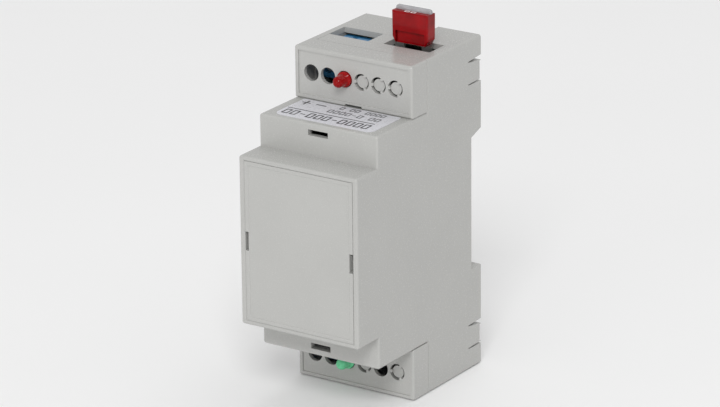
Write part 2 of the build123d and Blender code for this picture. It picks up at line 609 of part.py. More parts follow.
def led_lens(end, leads):
    """T-1 lens: dome, barrel and flange."""
    with BuildPart() as lens:
        with BuildSketch(Plane.XY.offset(end * HOLE_Z)):
            with BuildLine():
                Polyline((LED_X, LED_DOME_Y - LED_R), (LED_X, LED_BACK_Y), (LED_X + 2.05, LED_BACK_Y),
                         (LED_X + 2.05, GUARD_Y - 0.3), (LED_X + LED_R + 0.12, GUARD_Y - 0.75),
                         (LED_X + LED_R, LED_DOME_Y))
                CenterArc((LED_X, LED_DOME_Y), LED_R, 0, -90)
            make_face()
        revolve(axis=Axis((LED_X, 0, end * HOLE_Z), (0, 1, 0)))
        add(leads.part, mode=Mode.SUBTRACT)
    return lens


for end, colour in ((1, "red"), (-1, "green")):
    lamp_leads = led_leads(end)
    save(lamp_leads, colour + "_led_leads")
    save(led_lens(end, lamp_leads), colour + "_led_lens")
    with BuildPart() as led_spacer:
        rod(LED_X, end * HOLE_Z, 2.2, (LED_BACK_Y, PCB_Y))
        for side in (-1, 1):
            rod(LED_X + side * LEAD_PITCH / 2, end * HOLE_Z, 0.42, (LED_BACK_Y - 1, PCB_Y + 1),
                Mode.SUBTRACT)
    save(led_spacer, colour + "_led_spacer")

# ================================================================ trimmer
TRIM_HALF = 4.8
TRIM_H = 5.0
ROTOR_R = 2.9

with BuildPart() as trimmer_body:
    box((TRIM_X - TRIM_HALF, TRIM_X + TRIM_HALF), (height(TRIM_H), height(0.4)),
        (-HOLE_Z - TRIM_HALF, -HOLE_Z + TRIM_HALF))
    fillet(trimmer_body.edges().filter_by(Axis.Y), 0.8)
    rod(TRIM_X, -HOLE_Z, ROTOR_R + 0.08, (height(TRIM_H + 1), height(1.6)), Mode.SUBTRACT)
    for dx, dz in ((-2.5, -2.5), (2.5, -2.5), (0, 3.4)):
        rod(TRIM_X + dx, -HOLE_Z + dz, 0.35, (height(0.4), LEAD_END_Y))
save(trimmer_body, "trimmer_body")

with BuildPart() as trimmer_rotor:
    rod(TRIM_X, -HOLE_Z, ROTOR_R, (height(1.65), height(TRIM_H + 0.3)))
    fillet(trimmer_rotor.faces().sort_by(Axis.Y)[0].edges(), 0.3)
    box((TRIM_X - 2.1, TRIM_X + 2.1), (height(TRIM_H - 0.9), height(TRIM_H + 1)),
        (-HOLE_Z - 0.4, -HOLE_Z + 0.4), Mode.SUBTRACT)
    box((TRIM_X - 0.4, TRIM_X + 0.4), (height(TRIM_H - 0.9), height(TRIM_H + 1)),
        (-HOLE_Z - 1.2, -HOLE_Z + 1.2), Mode.SUBTRACT)
save(trimmer_rotor, "trimmer_rotor")

# ================================================================ relay
CASE_WALL = 0.7
YOKE_X = 4.5
YOKE_Z = (-8.2, -7.0)
YOKE_TOP_H = 12.35
ARM_H = (12.4, 13.6)
LEAF_H = (13.6, 13.85)
CONTACT_Z = 6.2
NO_STRIP_H = 10.85              # underside of the normally open contact's strip
NC_STRIP_H = 14.9               # underside of the normally closed contact's strip
BEARING_Z = YOKE_Z[1]           # the armature rocks on a ridge along the yoke's inner edge
BEARING_R = 0.25
STRIP_Z = (4.6, 8.6)
STRIP_T = 0.5
COIL_PIN = (5.5, -4.0)
NO_PIN_X = (-2.0, 0.0)
NC_PIN_X = (3.6, 5.4)


def rbox(xs, hs, zs, mode=Mode.ADD):
    """A block in the relay, with x from its middle and height from the board."""
    box((RELAY_X + xs[0], RELAY_X + xs[1]), (height(hs[0]), height(hs[1])), zs, mode)


def rrod(x, z, r, hs, mode=Mode.ADD):
    rod(RELAY_X + x, z, r, (height(hs[0]), height(hs[1])), mode)


RELAY_LEADS = [((-1.0, 1.0), (-8.2, -7.4)), (NO_PIN_X, (8.1, 8.6)), (NC_PIN_X, (8.1, 8.6))]

with BuildPart() as relay_base:
    half_x = RELAY_HALF_X - CASE_WALL - 0.05
    half_z = RELAY_HALF_Z - CASE_WALL - 0.05
    rbox((-half_x, half_x), (0.3, 2.0), (-half_z, half_z))
    fillet(relay_base.edges().filter_by(Axis.Y), 0.4)
    for xs, zs in RELAY_LEADS:
        rbox((xs[0] - 0.1, xs[1] + 0.1), (0, 3), (zs[0] - 0.1, zs[1] + 0.1), Mode.SUBTRACT)
    for side in (-1, 1):
        rrod(side * COIL_PIN[0], COIL_PIN[1], 0.5, (0, 3), Mode.SUBTRACT)
save(relay_base, "relay_base")

with BuildPart() as relay_case:
    rbox((-RELAY_HALF_X, RELAY_HALF_X), (0.2, RELAY_H), (-RELAY_HALF_Z, RELAY_HALF_Z))
    fillet(relay_case.edges().filter_by(Axis.Y), 0.8)
    fillet(relay_case.faces().sort_by(Axis.Y)[0].edges(), 0.5)
    rbox((-RELAY_HALF_X + CASE_WALL, RELAY_HALF_X - CASE_WALL), (0, RELAY_H - 0.8),
         (-RELAY_HALF_Z + CASE_WALL, RELAY_HALF_Z - CASE_WALL), Mode.SUBTRACT)
save(relay_case, "relay_case")

with BuildPart() as relay_yoke:
    rbox((-YOKE_X, YOKE_X), (2.1, 3.3), (YOKE_Z[0], 2.6))
    rbox((-YOKE_X, YOKE_X), (2.1, YOKE_TOP_H), YOKE_Z)
    rbox(RELAY_LEADS[0][0], (2.1, PCB_Y - LEAD_END_Y), RELAY_LEADS[0][1])
    rrod(0, CORE_Z, 2.02, (0, 4), Mode.SUBTRACT)
    with Locations((RELAY_X, height(ARM_H[0]), BEARING_Z)):
        Cylinder(BEARING_R, 2 * YOKE_X - 2, rotation=(0, 90, 0))
save(relay_yoke, "relay_yoke")

with BuildPart() as relay_core:
    rrod(0, CORE_Z, 2.0, (2.1, 11.1))
    rrod(0, CORE_Z, 3.5, (11.0, 11.8))
    fillet(relay_core.faces().sort_by(Axis.Y)[0].edges(), 0.2)
save(relay_core, "relay_core")

with BuildPart() as relay_bobbin:
    for hs, half in (((3.35, 4.15), 6.3), ((10.15, 10.95), 4.8)):
        rbox((-half, half), hs, (CORE_Z - 5.1, CORE_Z + 5.1))
    rrod(0, CORE_Z, 2.6, (3.35, 10.95))
    rrod(0, CORE_Z, 2.1, (3, 11), Mode.SUBTRACT)
save(relay_bobbin, "relay_bobbin")

with BuildPart() as relay_winding:
    rrod(0, CORE_Z, 4.7, (4.2, 10.1))
    rrod(0, CORE_Z, 2.65, (4, 11), Mode.SUBTRACT)
save(relay_winding, "relay_winding")

with BuildPart() as relay_coil_pins:
    for side in (-1, 1):
        rrod(side * COIL_PIN[0], COIL_PIN[1], 0.4, (3.3, PCB_Y - LEAD_END_Y))
save(relay_coil_pins, "relay_coil_pins")

with BuildPart() as relay_return_spring:
    rbox((-2.5, 2.5), (5.0, 13.95), (-8.6, -8.4))
    rbox((-2.5, 2.5), (13.75, 13.95), (-8.6, -6.6))
    rbox((-1.5, 1.5), (5.0, 8.0), (-8.4, YOKE_Z[0]))
save(relay_return_spring, "relay_return_spring")

with BuildPart() as relay_armature:
    rbox((-4.0, 4.0), ARM_H, (YOKE_Z[0], 2.4))
    fillet(relay_armature.edges().filter_by(Axis.Y), 0.5)
    with Locations((RELAY_X, height(ARM_H[0]), BEARING_Z)):
        Cylinder(BEARING_R + 0.05, 2 * YOKE_X, rotation=(0, 90, 0), mode=Mode.SUBTRACT)
save(relay_armature, "relay_armature")

with BuildPart() as relay_moving_contact:
    rbox((-3.0, 3.0), LEAF_H, (-6.0, CONTACT_Z + 1.8))
    fillet(relay_moving_contact.edges().filter_by(Axis.Y), 0.6)
    rrod(0, CONTACT_Z, 1.4, (12.9, LEAF_H[0]))
    rrod(0, CONTACT_Z, 1.4, (LEAF_H[1], 14.3))
    for z in (-4.4, 0.6):
        rrod(0, z, 0.7, (LEAF_H[1], 14.15))
save(relay_moving_contact, "relay_moving_contact")

with BuildPart() as relay_fixed_contact_no:
    rbox((-2.5, 2.5), (NO_STRIP_H, NO_STRIP_H + STRIP_T), STRIP_Z)
    rbox(NO_PIN_X, (NO_STRIP_H + STRIP_T, PCB_Y - LEAD_END_Y), (STRIP_Z[1] - STRIP_T, STRIP_Z[1]))
    rrod(0, CONTACT_Z, 1.5, (NO_STRIP_H + 0.45, NO_STRIP_H + 1.0))
save(relay_fixed_contact_no, "relay_fixed_contact_no")

with BuildPart() as relay_fixed_contact_nc:
    rbox((-2.5, NC_PIN_X[1]), (NC_STRIP_H, NC_STRIP_H + STRIP_T), STRIP_Z)
    rbox(NC_PIN_X, (NC_STRIP_H + STRIP_T, PCB_Y - LEAD_END_Y), (STRIP_Z[1] - STRIP_T, STRIP_Z[1]))
    rrod(0, CONTACT_Z, 1.5, (NC_STRIP_H - 0.55, NC_STRIP_H + 0.1))
save(relay_fixed_contact_nc, "relay_fixed_contact_nc")

# ================================================================ capacitor, varistor, diode, resistors
CAP_X = -8.6
CAP_Z = 13.0
CAP_R = 4.8
CAP_H = 16.0
SLEEVE_T = 0.2
CAP_LEAD = 2.5

with BuildPart() as capacitor_can:
    rod(CAP_X, CAP_Z, CAP_R, (height(0.9), height(CAP_H)))
    fillet(capacitor_can.faces().sort_by(Axis.Y)[0].edges(), 0.6)
    for turn in (0, 90):
        with BuildSketch(front(height(CAP_H - 0.3))):
            with Locations((CAP_X, CAP_Z)):
                Rectangle(6, 0.4, rotation=turn)
        extrude(amount=1, mode=Mode.SUBTRACT)
save(capacitor_can, "capacitor_can")

with BuildPart() as capacitor_sleeve:
    rod(CAP_X, CAP_Z, CAP_R + SLEEVE_T, (height(0.8), height(CAP_H - 0.8)))
    rod(CAP_X, CAP_Z, CAP_R, (height(0), height(CAP_H)), Mode.SUBTRACT)
save(capacitor_sleeve, "capacitor_sleeve")

with BuildPart() as capacitor_seal:
    rod(CAP_X, CAP_Z, CAP_R - 0.3, (height(0.1), height(0.9)))
    for side in (-1, 1):
        rod(CAP_X + side * CAP_LEAD, CAP_Z, 0.45, (height(1), PCB_Y + 1), Mode.SUBTRACT)
save(capacitor_seal, "capacitor_seal")

with BuildPart() as capacitor_leads:
    for side in (-1, 1):
        rod(CAP_X + side * CAP_LEAD, CAP_Z, 0.4, (height(0.9), LEAD_END_Y))
save(capacitor_leads, "capacitor_leads")

VARISTOR_X = -9.6
VARISTOR_Z = -5.5
VARISTOR_PITCH = 5.0

with BuildPart() as varistor:
    centre_h = 6.4
    with Locations((VARISTOR_X, height(centre_h), VARISTOR_Z)):
        Cylinder(4.6, 3.0)
    fillet(varistor.edges().filter_by(GeomType.CIRCLE), 1.2)
    for side in (-1, 1):
        rod(VARISTOR_X + side * VARISTOR_PITCH / 2, VARISTOR_Z, 0.4, (height(3.4), LEAD_END_Y))
save(varistor, "varistor")

AXIAL_PITCH = 12.7
LEAD_R = 0.35


def axial_body(x, z, r, length, h):
    """Round body on bent leads, lying along Z over the board."""
    half = AXIAL_PITCH / 2
    with BuildPart() as piece:
        with BuildLine() as route:
            FilletPolyline((x, LEAD_END_Y, z - half), (x, height(h), z - half),
                           (x, height(h), z + half), (x, LEAD_END_Y, z + half), radius=0.8)
        with BuildSketch(Plane(origin=route.line @ 0, z_dir=route.line % 0)):
            Circle(LEAD_R)
        sweep()
        with Locations((x, height(h), z)):
            Cylinder(r, length)
    return piece.part


DIODE_X = -7.0
DIODE_Z = -21.5
RESISTOR_X = (1.0, 5.0)
RESISTOR_Z = -20.0

with BuildPart() as flyback_diode:
    add(axial_body(DIODE_X, DIODE_Z, 1.35, 5.2, 1.8))
save(flyback_diode, "flyback_diode")

with BuildPart() as lamp_resistors:
    for x in RESISTOR_X:
        add(axial_body(x, RESISTOR_Z, 1.15, 6.3, 1.5))
save(lamp_resistors, "lamp_resistors")

# ================================================================ circuit board and its screws
PIN_HOLES = [(x, end * sum(LEG_Z) / 2, 0.8) for x in POLE_X for end in (-1, 1)]
PIN_HOLES += [(blade_x(side), sum(CLIP_FOOT_Z) / 2, 0.75) for side in (-1, 1)]
PIN_HOLES += [(LED_X + side * LEAD_PITCH / 2, end * HOLE_Z, 0.45) for side in (-1, 1) for end in (-1, 1)]
PIN_HOLES += [(TRIM_X + dx, -HOLE_Z + dz, 0.5) for dx, dz in ((-2.5, -2.5), (2.5, -2.5), (0, 3.4))]
PIN_HOLES += [(RELAY_X + side * COIL_PIN[0], COIL_PIN[1], 0.5) for side in (-1, 1)]
PIN_HOLES += [(RELAY_X + sum(xs) / 2, sum(zs) / 2, 1.15) for xs, zs in RELAY_LEADS]
PIN_HOLES += [(CAP_X + side * CAP_LEAD, CAP_Z, 0.5) for side in (-1, 1)]
PIN_HOLES += [(VARISTOR_X + side * VARISTOR_PITCH / 2, VARISTOR_Z, 0.5) for side in (-1, 1)]
PIN_HOLES += [(DIODE_X, DIODE_Z + side * AXIAL_PITCH / 2, 0.45) for side in (-1, 1)]
PIN_HOLES += [(x, RESISTOR_Z + side * AXIAL_PITCH / 2, 0.45) for x in RESISTOR_X for side in (-1, 1)]
PIN_HOLES += [(x, z, 1.35) for x in (-PILLAR_X, PILLAR_X) for z in (-PILLAR_Z, PILLAR_Z)]

with BuildPart() as main_pcb:
    box((-PCB_X, PCB_X), (PCB_Y, PCB_REAR_Y), (-PCB_Z, PCB_Z))
    fillet(main_pcb.edges().filter_by(Axis.Y), 1.0)
    for x, z, r in PIN_HOLES:
        rod(x, z, r, (PCB_Y - 1, PCB_REAR_Y + 1), Mode.SUBTRACT)
save(main_pcb, "main_pcb")

with BuildPart() as pcb_screws:
    for x in (-PILLAR_X, PILLAR_X):
        for z in (-PILLAR_Z, PILLAR_Z):
            rod(x, z, 2.3, (height(1.5), height(0)))
            rod(x, z, 1.08, (height(0.1), -1.2))
            box((x - 1.4, x + 1.4), (height(0.8), height(2)), (z - 0.3, z + 0.3), Mode.SUBTRACT)
            box((x - 0.3, x + 0.3), (height(0.8), height(2)), (z - 1.4, z + 1.4), Mode.SUBTRACT)
save(pcb_screws, "pcb_screws")
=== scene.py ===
import math

import bmesh
import bpy
from mathutils import Matrix, Vector


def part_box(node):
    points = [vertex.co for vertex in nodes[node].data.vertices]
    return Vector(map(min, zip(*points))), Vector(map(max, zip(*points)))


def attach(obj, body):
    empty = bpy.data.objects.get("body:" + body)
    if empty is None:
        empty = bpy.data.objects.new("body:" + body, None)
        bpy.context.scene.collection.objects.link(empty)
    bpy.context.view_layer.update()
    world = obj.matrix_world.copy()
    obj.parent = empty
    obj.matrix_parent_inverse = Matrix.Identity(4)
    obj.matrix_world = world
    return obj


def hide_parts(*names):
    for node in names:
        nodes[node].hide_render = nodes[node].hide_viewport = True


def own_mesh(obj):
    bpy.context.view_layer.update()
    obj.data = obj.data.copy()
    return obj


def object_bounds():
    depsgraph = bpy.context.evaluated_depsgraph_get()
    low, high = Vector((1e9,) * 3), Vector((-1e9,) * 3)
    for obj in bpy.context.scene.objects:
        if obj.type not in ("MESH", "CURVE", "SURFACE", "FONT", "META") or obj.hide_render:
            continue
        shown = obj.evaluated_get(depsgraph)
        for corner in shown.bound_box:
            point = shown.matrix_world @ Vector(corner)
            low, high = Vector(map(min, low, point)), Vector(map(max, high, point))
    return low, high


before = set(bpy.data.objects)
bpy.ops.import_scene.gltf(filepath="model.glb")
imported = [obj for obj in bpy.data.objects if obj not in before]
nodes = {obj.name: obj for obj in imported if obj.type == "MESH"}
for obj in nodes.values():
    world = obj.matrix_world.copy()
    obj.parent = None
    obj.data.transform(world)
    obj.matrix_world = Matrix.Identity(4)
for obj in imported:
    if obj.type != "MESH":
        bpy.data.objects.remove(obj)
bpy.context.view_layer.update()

MM = 0.001

# Colours are linear, lengths in millimetres unless a comment says otherwise.
GREY = (0.458, 0.458, 0.442)
PAINTED_SHADE_REACH = 1.2            # how far painted shade reaches into a fold or recess of clear plastic
RING_HALF = 0.32              # half the width of a lacquer ring
BARE_LEAD = (0.72, 0.72, 0.70)
RESISTOR_PITCH = 1.7          # between the middle ring and the outer ones
RESISTOR_HALF = 3.15          # half the length of a resistor's body
DIODE_HALF = 2.6

INK_SINK = -0.01              # ink starts inside the face and stands off it
INK_RISE = 0.02
CORNER_SHARE = 0.1            # corner radius of a printed bar, as a share of its short side
BOX_SHARE = 0.76              # width of an empty box and of a dash, as a share of their pitch
DASH_SHARE = 0.6
# Marks on the label: x from its centre, distance down from its rear edge, then sizes.
LABEL_PLUS = (-12.4, 2.6, 1.25, 1.6, 0.22)
LABEL_MINUS = (-7.9, 2.5, 3.0, 0.45)
LABEL_RULE = (-1.2, 8.0, 26.4, 0.36)
# Rows on the label: x from, x to, distance down, height, cells, stroke.
LABEL_ROWS = (
    (-2.7, 11.2, 1.75, 1.9, "# ## ####", 0.26),
    (-4.2, 11.8, 5.1, 2.2, "####-# ##", 0.28),
    (-14.0, 12.4, 10.75, 3.3, "##-###-####", 0.42),
)
FUSE_TOP_EDGE = 0.35          # rounding at the front of the fuse's top
FUSE_ROW = (-2.3, 1.4, 1.0, "##", 0.24)

COIL_WIRE_R = 0.2
COIL_TURNS = 8.5
COIL_CLOSED = 1.0             # flat turns at each end
COIL_STEPS = 20               # points on the wire per turn
COIL_END_RISE = 2.1           # rise over the flat turns, in wire radii

FLOOR_HALF = 6.0              # metres
FLOOR_GAP = 0.2
WORLD_LEVEL = 0.57
# Lamps: name, direction, distance and size in metres, level.
LAMPS = (
    ("key", (0.38, -0.66, 0.65), 2.7, 0.9, 0.42),
    ("front_fill", (0.10, -0.98, 0.15), 2.5, 1.6, 0.15),
    ("rear_top", (0.0, 0.45, 0.89), 2.5, 1.6, 0.15),
)
CAMERA_AT = (0.5767, -0.8866, 0.3723)
CAMERA_RIGHT = (0.8328, 0.5535, -0.0094)
CAMERA_AHEAD = (-0.5243, 0.7832, -0.3342)
CAMERA_LENS = 214.6


# ---------------------------------------------------------------- node material helpers
class Shader:
    """A Principled material and short ways to wire what goes into it, in millimetres."""

    def __init__(self, name):
        self.material = bpy.data.materials.new(name)
        self.material.use_nodes = True
        self.tree = self.material.node_tree
        self.bsdf = self.tree.nodes["Principled BSDF"]
        coords = self.node("ShaderNodeTexCoord")
        scale = self.node("ShaderNodeMapping")
        scale.inputs["Scale"].default_value = (1000, 1000, 1000)
        self.link(coords.outputs["Object"], scale.inputs["Vector"])
        self.place = scale.outputs["Vector"]

    def node(self, kind, **settings):
        made = self.tree.nodes.new(kind)
        for key, value in settings.items():
            setattr(made, key, value)
        return made

    def link(self, output, socket):
        self.tree.links.new(output, socket)

    def set(self, **values):
        """Constant values, set on the shader's own sockets."""
        for key, value in values.items():
            self.bsdf.inputs[key.replace("_", " ")].default_value = value

    def stretched(self, scale):
        """The place, scaled along each axis, for grain that runs one way."""
        made = self.node("ShaderNodeMapping")
        made.inputs["Scale"].default_value = scale
        self.link(self.place, made.inputs["Vector"])
        return made.outputs["Vector"]

    def noise(self, per_mm, detail=3.0, rough=0.55, place=None):
        made = self.node("ShaderNodeTexNoise")
        made.inputs["Scale"].default_value = per_mm
        made.inputs["Detail"].default_value = detail
        made.inputs["Roughness"].default_value = rough
        self.link(place or self.place, made.inputs["Vector"])
        return made.outputs["Fac"]

    def between(self, factor, low, high, from_low=0.0, from_high=1.0):
        """A number that goes from low to high as factor goes over its own range."""
        made = self.node("ShaderNodeMapRange")
        made.inputs["From Min"].default_value = from_low
        made.inputs["From Max"].default_value = from_high
        made.inputs["To Min"].default_value = low
        made.inputs["To Max"].default_value = high
        self.link(factor, made.inputs["Value"])
        return made.outputs["Result"]

    def mix(self, factor, low, high):
        """A colour between two, which are colours or outputs."""
        made = self.node("ShaderNodeMix", data_type="RGBA")
        self.link(factor, made.inputs["Factor"])
        for value, socket in ((low, made.inputs["A"]), (high, made.inputs["B"])):
            if hasattr(value, "is_linked"):
                self.link(value, socket)
            else:
                socket.default_value = (*value, 1.0)
        return made.outputs["Result"]

    def math(self, operation, a, b):
        """One operation on two numbers or outputs; sums and products are clamped."""
        made = self.node("ShaderNodeMath", operation=operation)
        made.use_clamp = operation in ("MULTIPLY", "ADD", "SUBTRACT")
        for value, socket in ((a, made.inputs[0]), (b, made.inputs[1])):
            if hasattr(value, "is_linked"):
                self.link(value, socket)
            else:
                socket.default_value = value
        return made.outputs[0]

    def minus(self, output, centre):
        """An unclamped difference."""
        made = self.node("ShaderNodeMath", operation="SUBTRACT")
        self.link(output, made.inputs[0])
        made.inputs[1].default_value = centre
        return made.outputs[0]

    def edges(self, radius_mm):
        """1 on sharp or tightly rounded edges, 0 on flat faces."""
        soft = self.node("ShaderNodeBevel", samples=4)
        soft.inputs["Radius"].default_value = radius_mm * MM
        geometry = self.node("ShaderNodeNewGeometry")
        dot = self.node("ShaderNodeVectorMath", operation="DOT_PRODUCT")
        self.link(soft.outputs["Normal"], dot.inputs[0])
        self.link(geometry.outputs["True Normal"], dot.inputs[1])
        return self.between(dot.outputs["Value"], 1.0, 0.0, 0.75, 0.995)

    def bump(self, heights, depth_mm, strength=0.6):
        """Bump from a height pattern."""
        made = self.node("ShaderNodeBump")
        made.inputs["Strength"].default_value = strength
        made.inputs["Distance"].default_value = depth_mm * MM
        self.link(heights, made.inputs["Height"])
        self.link(made.outputs["Normal"], self.bsdf.inputs["Normal"])

    def colour(self, output):
        self.link(output, self.bsdf.inputs["Base Color"])

    def roughness(self, output):
        self.link(output, self.bsdf.inputs["Roughness"])


def shade(colour, factor):
    return tuple(min(1.0, c * factor) for c in colour)


def moulded(name, colour, rough=0.38, grain=5.0, depth=0.012, edge_highlight=1.06, specular=0.5):
    """Moulded plastic: cloudy colour, spark-eroded grain, and edges painted a little lighter as a
    highlight.
    """
    s = Shader(name)
    clouds = s.noise(0.06, 4)
    speckle = s.noise(grain * 2.2, 2, 0.6)
    base = s.mix(s.between(clouds, 0, 1, 0.3, 0.7), shade(colour, 0.975), shade(colour, 1.015))
    base = s.mix(s.between(speckle, 0, 0.35, 0.55, 0.8), base, shade(colour, 0.93))
    # painted highlight: edges and tight roundings are coloured lighter, as where they catch the
    # light
    base = s.mix(s.math("MULTIPLY", s.edges(0.35), 0.6), base, shade(colour, edge_highlight))
    s.colour(base)
    s.roughness(s.between(s.noise(grain, 4), rough - 0.05, rough + 0.07, 0.35, 0.65))
    s.bump(s.noise(grain, 5, 0.65), depth, 0.35)
    s.set(Specular_IOR_Level=specular)
    return s.material


def metal(name, colour, rough=0.28, along=(1, 1, 12), edge_highlight=1.15, bump=0.01):
    """Plated or rolled metal with a fine drawn grain, dull patches and edges painted brighter as a
    highlight.
    """
    s = Shader(name)
    lines = s.noise(1.5, 4, 0.6, s.stretched(along))
    patches = s.noise(0.5, 3)
    base = s.mix(s.between(patches, 0, 1, 0.35, 0.7), shade(colour, 0.84), colour)
    base = s.mix(s.between(lines, 0, 0.5, 0.4, 0.75), base, shade(colour, 1.08))
    # painted highlight: edges and tight roundings are coloured brighter, as where they catch the
    # light
    base = s.mix(s.math("MULTIPLY", s.edges(0.12), 0.5), base, shade(colour, edge_highlight))
    s.colour(base)
    s.roughness(s.between(lines, rough - 0.08, rough + 0.12, 0.3, 0.7))
    s.bump(lines, bump, 0.4)
    s.set(Metallic=1.0, Anisotropic=0.3)
    return s.material


def clear_plastic(name, deep, light, transmission, rough, ior=1.5, cloud=0.35, gloss=0.5):
    """Tinted see-through plastic: flow clouds, edges painted lighter as a highlight, painted shade
    in folds and recesses, tiny surface waves.
    """
    s = Shader(name)
    clouds = s.noise(cloud, 3, 0.5)
    base = s.mix(s.between(clouds, 0, 1, 0.3, 0.75), deep, light)
    # painted highlight: edges are coloured a lighter tint, as where they catch the light
    base = s.mix(s.math("MULTIPLY", s.edges(0.2), 0.35), base, shade(light, 1.3))
    # painted shade: folds and recesses are coloured darker, as where less light reaches
    recess_shade = s.node("ShaderNodeAmbientOcclusion", only_local=True)
    recess_shade.inputs["Distance"].default_value = PAINTED_SHADE_REACH * MM
    base = s.mix(s.between(recess_shade.outputs["AO"], 0, 1, 0.4, 0.95), shade(deep, 0.4), base)
    s.colour(base)
    s.roughness(s.between(s.noise(2.0, 3), rough, rough + 0.06, 0.35, 0.7))
    s.bump(s.noise(0.9, 2), 0.02, 0.25)
    s.set(Transmission_Weight=transmission, IOR=ior, Specular_IOR_Level=gloss)
    return s.material


def board(name):
    """Solder mask over copper: tracks a shade lighter, glass weave in the bump."""
    s = Shader(name)
    tracks = s.node("ShaderNodeTexBrick", offset=0.37, squash=0.7)
    tracks.inputs["Scale"].default_value = 0.19
    tracks.inputs["Mortar Size"].default_value = 0.09
    tracks.inputs["Mortar Smooth"].default_value = 0.15
    turn = s.node("ShaderNodeMapping")
    turn.inputs["Rotation"].default_value = (math.radians(90), 0, 0)
    s.link(s.place, turn.inputs["Vector"])
    s.link(turn.outputs["Vector"], tracks.inputs["Vector"])
    weave = s.noise(2.2, 2, 0.5, s.stretched((1, 1, 0.3)))
    base = s.mix(tracks.outputs["Fac"], (0.006, 0.030, 0.014), (0.012, 0.060, 0.026))
    base = s.mix(s.between(weave, 0, 0.4, 0.5, 0.8), base, (0.018, 0.075, 0.035))
    base = s.mix(s.math("MULTIPLY", s.edges(0.2), 0.8), base, (0.45, 0.40, 0.22))
    s.colour(base)
    s.roughness(s.between(weave, 0.22, 0.36, 0.3, 0.7))
    s.bump(tracks.outputs["Fac"], 0.03, 0.4)
    return s.material


def winding(name):
    """Enamelled wire: fine turns across the coil's axis."""
    s = Shader(name)
    turns = s.node("ShaderNodeTexWave", wave_type="BANDS", bands_direction="Y")
    turns.inputs["Scale"].default_value = 1.6
    turns.inputs["Distortion"].default_value = 0.6
    turns.inputs["Detail"].default_value = 1.0
    s.link(s.place, turns.inputs["Vector"])
    base = s.mix(turns.outputs["Fac"], (0.22, 0.06, 0.02), (0.62, 0.24, 0.09))
    base = s.mix(s.between(s.noise(0.8), 0, 0.3, 0.5, 0.8), base, (0.75, 0.40, 0.20))
    s.colour(base)
    s.roughness(s.between(s.noise(1.2), 0.2, 0.35, 0.3, 0.7))
    s.bump(turns.outputs["Fac"], 0.08, 0.8)
    s.set(Metallic=0.75, Coat_Weight=0.4)
    return s.material


def banded(name, body, ring_colours, centre_z, pitch, half, rough=0.3):
    """A lacquered axial part: its coloured rings, and bare leads past its ends."""
    s = Shader(name)
    xyz = s.node("ShaderNodeSeparateXYZ")
    s.link(s.place, xyz.inputs[0])
    along = s.math("ABSOLUTE", s.minus(xyz.outputs["Z"], centre_z), 0.0)
    base = s.mix(s.between(s.noise(1.0), 0, 0.5, 0.4, 0.7), body, shade(body, 0.85))
    for number, colour in enumerate(ring_colours):
        ring = s.math("COMPARE", along, number * pitch)
        ring.node.inputs[2].default_value = RING_HALF
        base = s.mix(ring, base, colour)
    lead = s.math("GREATER_THAN", along, half)
    base = s.mix(lead, base, BARE_LEAD)
    s.colour(base)
    s.link(lead, s.bsdf.inputs["Metallic"])
    s.roughness(s.between(s.noise(1.5), rough - 0.05, rough + 0.1, 0.3, 0.7))
    s.bump(s.noise(1.1), 0.03, 0.3)
    return s.material


enclosure = moulded("enclosure_grey", GREY, rough=0.22, grain=3.0, depth=0.004)
enclosure_dark = moulded("base_grey", shade(GREY, 0.93), rough=0.42, grain=4.0)
steel = metal("zinc_steel", (0.60, 0.60, 0.60), 0.30)
spring_steel = metal("spring_steel", (0.50, 0.50, 0.51), 0.25, (1, 1, 1))
tinned = metal("tinned_brass", (0.68, 0.66, 0.60), 0.30)
iron = metal("soft_iron", (0.46, 0.46, 0.47), 0.34)
bronze = metal("contact_bronze", (0.62, 0.42, 0.24), 0.30)
zinc = metal("fuse_metal", (0.56, 0.56, 0.54), 0.36, (1, 1, 6))
aluminium = metal("can_aluminium", (0.75, 0.75, 0.76), 0.25, (12, 1, 1))
blue = moulded("terminal_blue", (0.030, 0.165, 0.33), rough=0.36, edge_highlight=1.2, specular=0.35)
black = moulded("holder_black", (0.018, 0.018, 0.020), rough=0.40, edge_highlight=2.2)
nylon = moulded("spacer_nylon", (0.022, 0.022, 0.024), rough=0.45, edge_highlight=2.0)
rubber = moulded("seal_rubber", (0.02, 0.02, 0.02), rough=0.65, edge_highlight=1.5)
bobbin = moulded("bobbin_natural", (0.62, 0.58, 0.47), rough=0.40)
relay_blue = moulded("relay_plastic", (0.02, 0.06, 0.20), rough=0.25, edge_highlight=1.5)
trimmer_blue = moulded("trimmer_blue", (0.04, 0.14, 0.36), rough=0.35, edge_highlight=1.3)
trimmer_white = moulded("trimmer_white", (0.72, 0.70, 0.64), rough=0.38)
sleeve = moulded("sleeve_film", (0.014, 0.02, 0.06), rough=0.18, edge_highlight=1.6)
varistor_coat = moulded("varistor_coat", (0.04, 0.12, 0.38), rough=0.24, edge_highlight=1.3)
strip_clear = clear_plastic("strip_clear", (0.50, 0.50, 0.52), (0.62, 0.62, 0.64),
                            transmission=0.35, rough=0.12, cloud=0.4)
ink = moulded("label_ink", (0.012, 0.012, 0.016), rough=0.35, grain=6.0, depth=0.003, edge_highlight=3.0)
white_ink = moulded("fuse_ink", (0.80, 0.78, 0.78), rough=0.40, grain=6.0, depth=0.003, edge_highlight=1.0)
film = moulded("label_film", (0.66, 0.66, 0.70), rough=0.30, grain=2.0, depth=0.004)
fuse_red = clear_plastic("fuse_red", (0.21, 0.0005, 0.002), (0.36, 0.001, 0.004),
                         transmission=0.12, rough=0.05, ior=1.45, cloud=0.25, gloss=0.22)
led_red = clear_plastic("led_red", (0.26, 0.001, 0.002), (0.40, 0.002, 0.003),
                        transmission=0.06, rough=0.05, cloud=0.3, gloss=0.20)
led_green = clear_plastic("led_green", (0.14, 0.70, 0.32), (0.24, 0.88, 0.50),
                          transmission=0.12, rough=0.16, cloud=0.6, gloss=0.35)
resistor_low, resistor_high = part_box("lamp_resistors")
